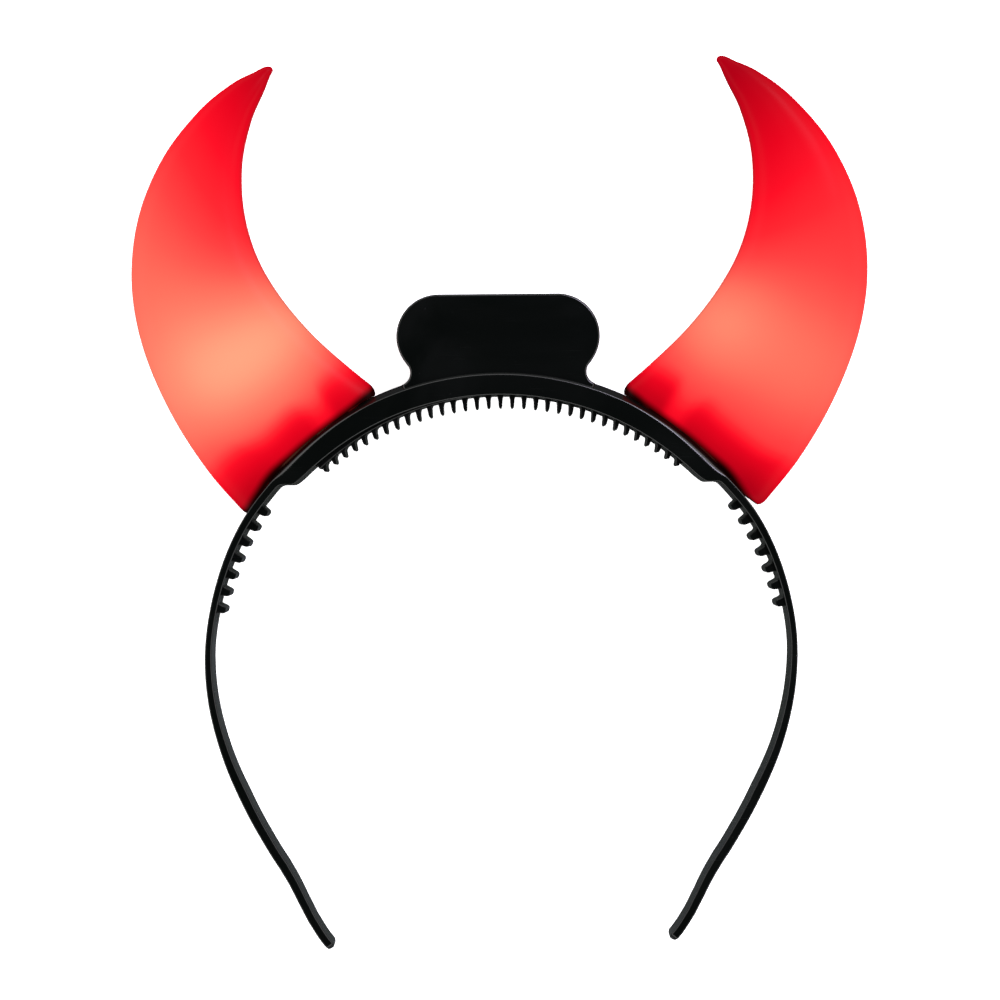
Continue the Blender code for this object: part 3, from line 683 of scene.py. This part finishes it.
def bandRing(angle, grow=0.0, scale=1.0, depthInside=None, edge=None):
    thickness = sectionSize(1, angle)
    half = sectionSize(2, angle) * scale + grow
    crown = sectionSize(3, angle)
    face, out = pathFrame(angle)
    top = -thickness / 2 * (1 - scale) + grow
    bottom = -thickness / 2 * (1 + scale) if depthInside is None else -depthInside
    inner = band["innerEdge"] * scale
    outer = (edge or sectionSize(4, angle)) * scale
    steps = band["edgeSteps"]
    flat = half * band["crownFlat"]
    ease = band["crownEase"]
    front = arc((bottom + inner, half - inner), inner, 180, 90, steps)
    front += arc((top - outer, half - outer), outer, 90, band["outerEdgeEnd"], steps)
    front += [(top + crown * band["crownEaseShare"], flat + ease), (top + crown, flat - ease)]
    back = [(radial, -z) for radial, z in reversed(front)]
    return [(*(face + out * radial), z) for radial, z in front + back]


def makeBand():
    tip = math.degrees(band["tipLength"] / band["path"][-1][1])
    arms = []
    for end in band["ends"]:
        last = end - math.copysign(tip, end)
        steps = round(abs(last) / band["ringStep"])
        stations = [(last * k / steps, 1.0) for k in range(1, steps + 1)]
        for k in range(1, band["tipSteps"] + 1):
            share = math.sin(math.pi / 2 * k / band["tipSteps"])
            scale = max(math.sqrt(1 - share * share), band["tipSmallest"])
            stations.append((last + (end - last) * share, scale))
        arms.append(stations)
    stations = arms[0][::-1] + [(0.0, 1.0)] + arms[1]
    return solidFromRings("frameMoulding", [bandRing(angle, scale=scale) for angle, scale in stations])


armTeeth = {"Teeth": 7, "First Angle": 55.15, "Pitch": 3.57, "Lean": 0.8, "Lean Offset": 12.0,
            "Root Radius": 69.5, "Tip Radius": 67.15,
            "Root Half Width": 1.4, "Shank Half Width": 1.08, "Half Depth": 4.4, "Edge": 0.25}
rail = {"halfAngle": 41.55, "floor": 1.5, "wall": 1.2, "mouth": 62.65, "step": 1.5}
tongue = {
    "steps": (  # first angle, last angle, radius
        (30.0, 33.5, 79.0), (33.5, 37.5, 76.8), (37.5, 42.5, 78.6), (42.5, 46.5, 77.2), (46.5, 50.5, 79.6),
    ),
    "halfDepth": 1.6, "foot": 70.0, "edge": 0.2,
}


def makeChannel():
    half = sectionSize(2, 0.0) - rail["wall"]
    outer = band["path"][0][1] - rail["floor"]
    steps = round(2 * rail["halfAngle"] / rail["step"])
    angles = [rail["halfAngle"] * (2 * k / steps - 1) for k in range(steps + 1)]
    outline = [polar(outer, angle) for angle in angles]
    outline += [polar(rail["mouth"], angle) for angle in reversed(angles)]
    return solidFromOutline("railHollow", outline, -half, half)


def neckCentre(crownRadius):  # centre of the fillet between the tab's end circle and the rail
    endX = tab["halfWidth"] - tab["radius"]
    reach = tab["radius"] + tab["neckFillet"]
    low, high = 0.0, 90.0
    for _ in range(40):
        middle = (low + high) / 2
        turn = math.radians(middle)
        centre = Vector((endX + reach * math.cos(turn), tab["centreY"] - reach * math.sin(turn)))
        if centre.length > crownRadius + tab["neckFillet"]:
            low = middle
        else:
            high = middle
    return middle, centre


def makeTab():
    endX = tab["halfWidth"] - tab["radius"]
    start, fillet = neckCentre(band["path"][0][1] + band["sections"][0][3])
    footTurn = math.degrees(math.atan2(-fillet.y, -fillet.x))
    right = arc((endX, tab["centreY"]), tab["radius"], 90, -start, tab["endSteps"])
    right += arc(fillet, tab["neckFillet"], 180 - start, footTurn + 360, tab["filletSteps"])[1:]
    left = [Vector((-point.x, point.y)) for point in reversed(right)]
    half = math.degrees(math.atan2(fillet.x, fillet.y))
    steps = tab["footSteps"]
    foot = [polar(tab["footRadius"], half * (1 - 2 * k / steps)) for k in range(steps + 1)]
    outline = right + foot + left
    return solidFromOutline("tabBody", outline, tab["back"], tab["front"], tab["edge"], tab["edgeSteps"])


cover = {
    "halfWidth": 20.5, "radius": 7.0, "thickness": 1.2, "gap": 0.3, "edge": 0.25, "endSteps": 32, "cutPast": 1.0,
}


def roundEnded(halfWidth, radius):
    endX = halfWidth - radius
    points = arc((endX, tab["centreY"]), radius, -90, 90, cover["endSteps"])
    return points + arc((-endX, tab["centreY"]), radius, 90, 270, cover["endSteps"])


def makeRecess():
    outline = roundEnded(cover["halfWidth"] + cover["gap"], cover["radius"] + cover["gap"])
    top = tab["back"] + cover["thickness"] + cover["gap"]
    return solidFromOutline("coverRecess", outline, tab["back"] - cover["cutPast"], top)


def makeTongue(side):
    upper = []
    for first, last, radius in tongue["steps"]:
        upper += [polar(radius, side * first), polar(radius, side * last)]
    foot = [polar(tongue["foot"], side * row[1]) for row in reversed(tongue["steps"])]
    foot.append(polar(tongue["foot"], side * tongue["steps"][0][0]))
    return solidFromOutline("tongue", upper + foot, -tongue["halfDepth"], tongue["halfDepth"], tongue["edge"])


frameMoulding = makeBand()
addToothRow(frameMoulding, armTeeth, frameBlack)
leftTeeth = {**armTeeth, "First Angle": -55.5, "Pitch": -3.57, "Lean Offset": -12.0,
             "Root Radius": 69.2, "Tip Radius": 66.85}
addToothRow(frameMoulding, leftTeeth, frameBlack)
additions = [makeTab(), makeTongue(-1), makeTongue(1)]
cutters = [makeChannel(), makeRecess()]
for tool in additions:
    cutOrJoin(frameMoulding, tool, "UNION")
for tool in cutters:
    cutOrJoin(frameMoulding, tool, "DIFFERENCE")
applyAll(frameMoulding, additions + cutters)
finishPiece(frameMoulding, frameBlack)

print("stage: comb strip")
comb = {
    "halfAngle": 41.05, "topRadius": 67.3, "rootRadius": 65.65, "steps": 60, "edge": 0.2, "tilt": 0.85,
    "row": {"Teeth": 33, "First Angle": -40.44, "Pitch": 2.551, "Root Radius": 65.9, "Root Drop": 0.55,
            "Tip Radius": 62.65, "Tip Rise": 1.0, "Lean": 0.5, "Root Half Width": 1.1, "Shank Half Width": 0.54,
            "Half Depth": 4.4, "Edge": 0.12},
}


def makeComb():
    angles = [comb["halfAngle"] * (1 - 2 * k / comb["steps"]) for k in range(comb["steps"] + 1)]
    drop = [comb["row"]["Root Drop"] * (angle / comb["halfAngle"]) ** 2 for angle in angles]
    outline = [polar(comb["topRadius"], angle) for angle in angles]
    outline += [polar(comb["rootRadius"] - lower, angle) for angle, lower in zip(reversed(angles), drop)]
    half = sectionSize(2, 0.0) - rail["wall"] - cover["gap"]
    strip = solidFromOutline("combStrip", outline, -half, half, comb["edge"])
    addToothRow(strip, comb["row"], combBlack)
    applyAll(strip)
    pivot = Matrix.Translation((0.0, comb["rootRadius"], 0.0))
    strip.data.transform(pivot @ Matrix.Rotation(math.radians(comb["tilt"]), 4, "Z") @ pivot.inverted())
    return strip


combStrip = makeComb()
finishPiece(combStrip, combBlack)

print("stage: battery cover")
batteryCover = solidFromOutline("batteryCover", roundEnded(cover["halfWidth"], cover["radius"]), tab["back"],
                                tab["back"] + cover["thickness"], cover["edge"])
finishPiece(batteryCover, coverBlack)

print("stage: horns")
horn = {
    "sections": (  # outer x, outer y, inner x, inner y, thickness, from the base to the tip
        (61.8, 38.2, 27.9, 65.9, 10.0), (71.6, 50.2, 36.5, 73.2, 12.6), (80.1, 64.6, 45.3, 81.6, 14.2),
        (86.1, 80.3, 52.9, 91.2, 15.0), (88.2, 95.6, 58.2, 101.1, 14.6), (86.1, 110.9, 60.9, 112.0, 13.4),
        (79.8, 125.0, 60.9, 123.3, 11.2), (70.8, 136.0, 58.4, 133.3, 8.4), (62.7, 142.3, 55.2, 140.1, 5.6),
        (56.9, 145.1, 53.3, 144.3, 3.2), (54.3, 146.8, 52.1, 145.3, 2.4),
    ),
    "wall": 1.2, "squareness": 2.6, "ring": 72, "stepsARow": 10, "hollowRing": 48, "hollowStepsARow": 5,
    "hollowFirst": -0.25, "hollowLast": 7.5, "baseRows": 0.55, "baseSteps": 18, "outerCorner": 1.2,
    "innerCorner": 2.6, "pivot": (27.9, 65.9), "seatDepth": 14.0, "seatFrom": 12.0, "seatTo": 72.0, "gap": 0.3,
    "liftFrom": 54.0, "tipSteps": 10,
    "tipMost": 0.985,     # share of the tip's quarter round that is drawn
    "sharpAngle": 40.0,
}
hornSeating = {  # side, turn, shift x, shift y, gap gained for each degree past liftFrom
    "leftHorn": (-1, -1.5, -1.7, -0.8, 0.0),
    "rightHorn": (1, 0.21, 0.15, 0.0, 0.35),
}
hornCorners = {  # rows over which the outer and inner corners of the base are rounded off
    "leftHorn": ((0.06, 0.24), (0.21, 0.53)),
    "rightHorn": ((0.02, 0.16), (0.06, 0.38)),
}


def cornerInset(row, rows, size):
    left = min(max((rows[1] - row) / (rows[1] - rows[0]), 0.0), 1.0)
    return size * (1 - math.sqrt(1 - left * left))


def hornRing(name, row, count, wall):
    outerX, outerY, innerX, innerY, thickness = (smoothValue(horn["sections"], k, row) for k in range(5))
    outer = Vector((outerX, outerY))
    inner = Vector((innerX, innerY))
    across = (outer - inner).normalized()
    outer -= across * (wall + cornerInset(row, hornCorners[name][0], horn["outerCorner"]))
    inner += across * (wall + cornerInset(row, hornCorners[name][1], horn["innerCorner"]))
    middle = (outer + inner) / 2
    pastTip = min(max(row - len(horn["sections"]) + 2, 0.0), horn["tipMost"])
    tip = math.sqrt(1 - pastTip ** 2)
    halfWidth = (outer - inner).length / 2 * tip
    halfThick = (thickness / 2 - wall) * tip
    power = 2 / horn["squareness"]
    ring = []
    for k in range(count):
        turn = 2 * math.pi * k / count
        x = math.copysign(abs(math.cos(turn)) ** power, math.cos(turn))
        z = math.copysign(abs(math.sin(turn)) ** power, math.sin(turn))
        ring.append((*(middle + across * x * halfWidth), z * halfThick))
    return ring


def hornRows(first, last, stepsARow):
    steps = math.ceil((last - first) * stepsARow)
    return [first + (last - first) * k / steps for k in range(steps + 1)]


def makeHorn(name):
    side, turn, shiftX, shiftY, lift = hornSeating[name]
    rows = [horn["baseRows"] * k / horn["baseSteps"] for k in range(horn["baseSteps"])]
    tipRow = len(horn["sections"]) - 2
    rows += hornRows(horn["baseRows"], tipRow, horn["stepsARow"])
    rows += [tipRow + math.sin(math.pi / 2 * k / horn["tipSteps"]) for k in range(1, horn["tipSteps"] + 1)]
    shell = solidFromRings(name, [hornRing(name, row, horn["ring"], 0.0) for row in rows])
    hollowRows = hornRows(horn["hollowFirst"], horn["hollowLast"], horn["hollowStepsARow"])
    rings = [hornRing(name, row, horn["hollowRing"], horn["wall"]) for row in hollowRows]
    hollow = solidFromRings(name + "Hollow", rings)
    pivot = Matrix.Translation((*horn["pivot"], 0.0))
    seated = pivot @ Matrix.Rotation(math.radians(turn), 4, "Z") @ pivot.inverted()
    seated = Matrix.Translation((shiftX, shiftY, 0.0)) @ seated
    for piece in (shell, hollow):
        piece.data.transform(seated)
        if side < 0:
            piece.data.transform(Matrix.Diagonal((-1.0, 1.0, 1.0, 1.0)))
            piece.data.flip_normals()
    span = horn["seatTo"] - horn["seatFrom"]
    steps = round(span / band["ringStep"])
    angles = [side * (horn["seatFrom"] + span * k / steps) for k in range(steps + 1)]
    gaps = [horn["gap"] + lift * max(abs(angle) - horn["liftFrom"], 0.0) for angle in angles]
    rings = [bandRing(angle, gap, depthInside=horn["seatDepth"], edge=band["innerEdge"])
             for angle, gap in zip(angles, gaps)]
    seat = solidFromRings(name + "Seat", rings)
    cutOrJoin(shell, hollow, "DIFFERENCE")
    cutOrJoin(shell, seat, "DIFFERENCE")
    applyAll(shell, (hollow, seat))
    finishPiece(shell, hornReds[name], horn["sharpAngle"])
    return shell


leftHorn = makeHorn("leftHorn")
rightHorn = makeHorn("rightHorn")

print("stage: riding on the frame")
for piece, node, slot in (
    (frameMoulding, "headband_frame", "frame_black"),
    (combStrip, "comb_strip", "comb_black"),
    (batteryCover, "battery_cover", "cover_black"),
    (leftHorn, "left_horn", "horn_red"),
    (rightHorn, "right_horn", "horn_red"),
):
    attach(piece, "root")
    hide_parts(node)

print("stage: floor and light")
studio = {
    "floorSize": 6.0, "floorColour": (0.92, 0.92, 0.92, 1.0),
    "floorBounce": (0.095, 0.105, 0.1, 1.0),  # what the floor gives back to the part, as over a dark table
    "floorGlow": (0.8, 0.8, 0.8, 1.0),    # lifts the floor's soft shadows
    "floorRoughness": 0.9, "floorSpecular": 0.1,
    "skyStops": ((0.0, 1.2), (0.25, 2.4), (0.58, 4.0), (0.72, 0.02)),  # height of the direction, light
    "softboxTurn": 37.0,     # degrees from the top towards the right
    "softboxHeight": 48.0,   # degrees above the floor
    "softboxDistance": 1.1, "softboxSize": (0.42, 0.26), "softboxPower": 9.0, "softboxColour": (0.84, 0.78, 1.0),
}
floorMesh = bpy.data.meshes.new("floor")
floorShape = bmesh.new()
bmesh.ops.create_grid(floorShape, x_segments=1, y_segments=1, size=studio["floorSize"] / 2)
floorShape.to_mesh(floorMesh)
floorShape.free()
floor = addObject("floor", floorMesh)
floorPaint = bpy.data.materials.new("floorPaint")
floorPaint.use_nodes = True
floorTree = floorPaint.node_tree
floorShader = floorTree.nodes["Principled BSDF"].inputs
seen = addNode(floorTree, "ShaderNodeLightPath").outputs["Is Camera Ray"]
floorMix = mixColour(floorTree, seen, studio["floorBounce"], studio["floorColour"])
floorTree.links.new(floorMix, floorShader["Base Color"])
floorGlow = mixColour(floorTree, seen, (0.0, 0.0, 0.0, 1.0), studio["floorGlow"])
floorTree.links.new(floorGlow, floorShader["Emission Color"])
floorShader["Emission Strength"].default_value = 1.0
floorShader["Roughness"].default_value = studio["floorRoughness"]
floorShader["Specular IOR Level"].default_value = studio["floorSpecular"]
floorMesh.materials.append(floorPaint)

world = bpy.data.worlds.new("studio")
scene.world = world
world.use_nodes = True
sky = world.node_tree
direction = addNode(sky, "ShaderNodeTexCoord").outputs["Generated"]
height = addNode(sky, "ShaderNodeSeparateXYZ", {0: direction}).outputs["Z"]
light = addNode(sky, "ShaderNodeValToRGB", {"Fac": height})
brightest = max(value for _, value in studio["skyStops"])
while len(light.color_ramp.elements) < len(studio["skyStops"]):
    light.color_ramp.elements.new(0.5)
for stop, (place, value) in zip(light.color_ramp.elements, studio["skyStops"]):
    stop.position = place
    stop.color = (value / brightest,) * 3 + (1.0,)
background = sky.nodes["Background"]
sky.links.new(light.outputs["Color"], background.inputs["Color"])
background.inputs["Strength"].default_value = brightest

softbox = addObject("softbox", bpy.data.lights.new("softbox", "AREA"))  # cool light along the right of the rail
softbox.data.shape = "RECTANGLE"
softbox.data.size, softbox.data.size_y = studio["softboxSize"]
softbox.data.energy = studio["softboxPower"]
softbox.data.color = studio["softboxColour"]
aside = math.radians(studio["softboxTurn"])
rise = math.radians(studio["softboxHeight"])
softbox.location = Vector((math.cos(rise) * math.sin(aside), math.cos(rise) * math.cos(aside), math.sin(rise)))
softbox.location *= studio["softboxDistance"]
softbox.rotation_euler = softbox.location.to_track_quat("Z", "Y").to_euler()
